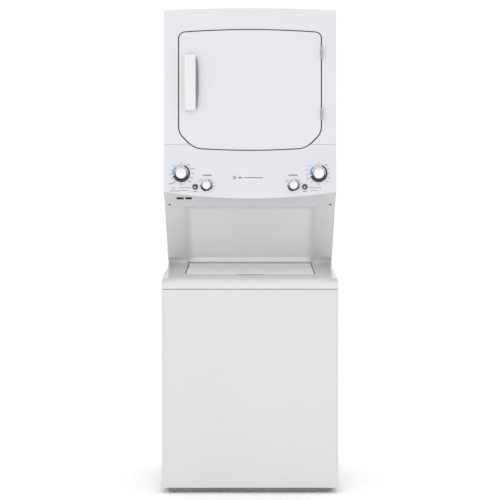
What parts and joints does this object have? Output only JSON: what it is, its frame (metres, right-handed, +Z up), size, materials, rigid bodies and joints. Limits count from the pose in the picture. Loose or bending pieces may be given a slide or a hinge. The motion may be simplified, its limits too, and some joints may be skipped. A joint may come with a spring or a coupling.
{
  "type": "washer dryer stack",
  "caption": "Stacked laundry unit: a top-loading washer below and a front-loading dryer above, in one cabinet, with a shared control console between them.",
  "frame": {"origin": "on the floor, under the middle of the whole box", "axes": "+X to the viewer's right, +Y to the back, +Z up"},
  "size_m": [0.683, 0.778, 1.897],
  "materials": {
    "white_steel": "gloss",
    "door_steel": "gloss",
    "white_plastic": "satin",
    "recess_steel": "satin",
    "toe_steel": "satin",
    "galvanised": "satin",
    "stainless": "satin",
    "drum_enamel": "gloss",
    "tub_plastic": "matte",
    "agitator_plastic": "satin",
    "grey_plastic": "matte",
    "black_plastic": "matte",
    "knob_plastic": "satin",
    "button_chrome": "satin",
    "hinge_steel": "satin",
    "zinc": "satin",
    "cast_alloy": "matte",
    "motor_black": "satin",
    "rubber_black": "matte",
    "seal_grey": "matte",
    "felt": "matte",
    "heater_steel": "matte"
  },
  "bodies": {
    "cabinet": {"washer_cabinet": "white_steel", "washer_front_panel": "white_steel", "base_frame": "toe_steel", "washer_top_cover": "white_steel", "water_valve": "grey_plastic", "drain_outlet": "grey_plastic", "suspension_rods": "zinc", "dryer_side_left": "white_steel", "dryer_side_right": "white_steel", "dryer_rear_panel": "galvanised", "dryer_top_panel": "white_steel", "dryer_front_panel": "white_steel", "recess_panel": "recess_steel", "recess_screws": "zinc", "console_fascia": "white_plastic", "control_box": "black_plastic", "front_bulkhead": "drum_enamel", "drum_seal": "felt", "drum_bearing": "cast_alloy", "drum_belt": "rubber_black", "dryer_motor": "motor_black", "blower_housing": "grey_plastic", "exhaust_duct": "galvanised", "lint_duct": "grey_plastic", "heater": "heater_steel"},
    "lid": {"washer_lid": "white_steel"},
    "tub": {"outer_tub": "tub_plastic", "tub_ring": "tub_plastic", "gearcase": "cast_alloy", "washer_motor": "motor_black", "washer_belt": "rubber_black", "drain_pump": "black_plastic", "drain_hose": "rubber_black", "suspension_springs": "zinc"},
    "basket": {"wash_basket": "stainless", "balance_ring": "agitator_plastic"},
    "agitator": {"agitator": "agitator_plastic", "drive_shaft": "zinc"},
    "drive_pulley": {"drive_pulley": "cast_alloy"},
    "motor_pulley": {"washer_motor_pulley": "zinc"},
    "drum": {"dryer_drum": "drum_enamel", "drum_baffles": "agitator_plastic"},
    "blower": {"motor_shaft": "zinc", "blower_wheel": "black_plastic"},
    "filter": {"lint_filter": "grey_plastic"},
    "door": {"door_outer": "door_steel", "door_inner": "drum_enamel", "door_seal": "seal_grey", "door_hinges": "hinge_steel", "door_handle": "white_plastic"},
    "washer_cycle_knob": {"washer_cycle_knob": "knob_plastic"},
    "dryer_cycle_knob": {"dryer_cycle_knob": "knob_plastic"},
    "washer_temp_knob": {"washer_temp_knob": "knob_plastic"},
    "dryer_heat_knob": {"dryer_heat_knob": "knob_plastic"},
    "washer_start_button": {"washer_start_button": "button_chrome"},
    "dryer_start_button": {"dryer_start_button": "button_chrome"},
    "foot_front_left": {"foot_front_left": "rubber_black"},
    "foot_front_right": {"foot_front_right": "rubber_black"},
    "foot_back_left": {"foot_back_left": "rubber_black"},
    "foot_back_right": {"foot_back_right": "rubber_black"}
  },
  "joints": [
    {"name": "dryer_door_hinge", "type": "hinge", "parent": "cabinet", "child": "door", "pos_m": [0.2855, -0.268, 1.545], "axis": [0, 0, 1], "range_deg": [0, 165]},
    {"name": "washer_lid_hinge", "type": "hinge", "parent": "cabinet", "child": "lid", "pos_m": [0, 0.033, 0.8795], "axis": [-1, 0, 0], "range_deg": [0, 50]},
    {"name": "tub_bounce", "type": "slide", "parent": "cabinet", "child": "tub", "axis": [0, 0, 1], "range_m": [-0.015, 0.015], "stiffness_N_per_m": 20000, "springref_m": 0.0119, "deforming": ["suspension_springs", "drain_hose"]},
    {"name": "basket_spin", "type": "hinge", "parent": "tub", "child": "basket", "pos_m": [0, -0.044, 0.28], "axis": [0, 0, 1], "continuous": true},
    {"name": "agitator_turn", "type": "hinge", "parent": "tub", "child": "agitator", "pos_m": [0, -0.044, 0.4], "axis": [0, 0, 1], "continuous": true},
    {"name": "drive_pulley_spin", "type": "hinge", "parent": "tub", "child": "drive_pulley", "pos_m": [0, -0.044, 0.15], "axis": [0, 0, 1], "continuous": true},
    {"name": "motor_pulley_spin", "type": "hinge", "parent": "tub", "child": "motor_pulley", "pos_m": [-0.165, 0.016, 0.15], "axis": [0, 0, 1], "continuous": true},
    {"name": "drum_spin", "type": "hinge", "parent": "cabinet", "child": "drum", "pos_m": [0, 0.011, 1.545], "axis": [0, 1, 0], "continuous": true},
    {"name": "blower_spin", "type": "hinge", "parent": "cabinet", "child": "blower", "pos_m": [-0.06, 0.061, 1.12], "axis": [0, 1, 0], "continuous": true},
    {"name": "filter_lift", "type": "slide", "parent": "cabinet", "child": "filter", "axis": [0, 0, 1], "range_m": [0, 0.185]},
    {"name": "washer_cycle_turn", "type": "hinge", "parent": "cabinet", "child": "washer_cycle_knob", "pos_m": [-0.271, -0.2815, 1.243], "axis": [0, -1, 0], "continuous": true},
    {"name": "dryer_cycle_turn", "type": "hinge", "parent": "cabinet", "child": "dryer_cycle_knob", "pos_m": [0.271, -0.2815, 1.243], "axis": [0, -1, 0], "continuous": true},
    {"name": "washer_temp_turn", "type": "hinge", "parent": "cabinet", "child": "washer_temp_knob", "pos_m": [-0.1717, -0.2855, 1.196], "axis": [0, -1, 0], "range_deg": [-120, 120]},
    {"name": "dryer_heat_turn", "type": "hinge", "parent": "cabinet", "child": "dryer_heat_knob", "pos_m": [0.1717, -0.2855, 1.196], "axis": [0, -1, 0], "range_deg": [-120, 120]},
    {"name": "washer_start_press", "type": "slide", "parent": "cabinet", "child": "washer_start_button", "axis": [0, 1, 0], "range_m": [0, 0.0025], "stiffness_N_per_m": 400, "springref_m": -0.002},
    {"name": "dryer_start_press", "type": "slide", "parent": "cabinet", "child": "dryer_start_button", "axis": [0, 1, 0], "range_m": [0, 0.0025], "stiffness_N_per_m": 400, "springref_m": -0.002},
    {"name": "foot_front_left_turn", "type": "hinge", "parent": "cabinet", "child": "foot_front_left", "pos_m": [-0.298, -0.325, 0.02], "axis": [0, 0, 1], "continuous": true},
    {"name": "foot_front_right_turn", "type": "hinge", "parent": "cabinet", "child": "foot_front_right", "pos_m": [0.298, -0.325, 0.02], "axis": [0, 0, 1], "continuous": true},
    {"name": "foot_back_left_turn", "type": "hinge", "parent": "cabinet", "child": "foot_back_left", "pos_m": [-0.298, 0.326, 0.02], "axis": [0, 0, 1], "continuous": true},
    {"name": "foot_back_right_turn", "type": "hinge", "parent": "cabinet", "child": "foot_back_right", "pos_m": [0.298, 0.326, 0.02], "axis": [0, 0, 1], "continuous": true}
  ],
  "couplings": [
    {"joint": "motor_pulley_spin", "follows": "drive_pulley_spin", "ratio": 4.25},
    {"joint": "blower_spin", "follows": "drum_spin", "ratio": 26.5}
  ]
}
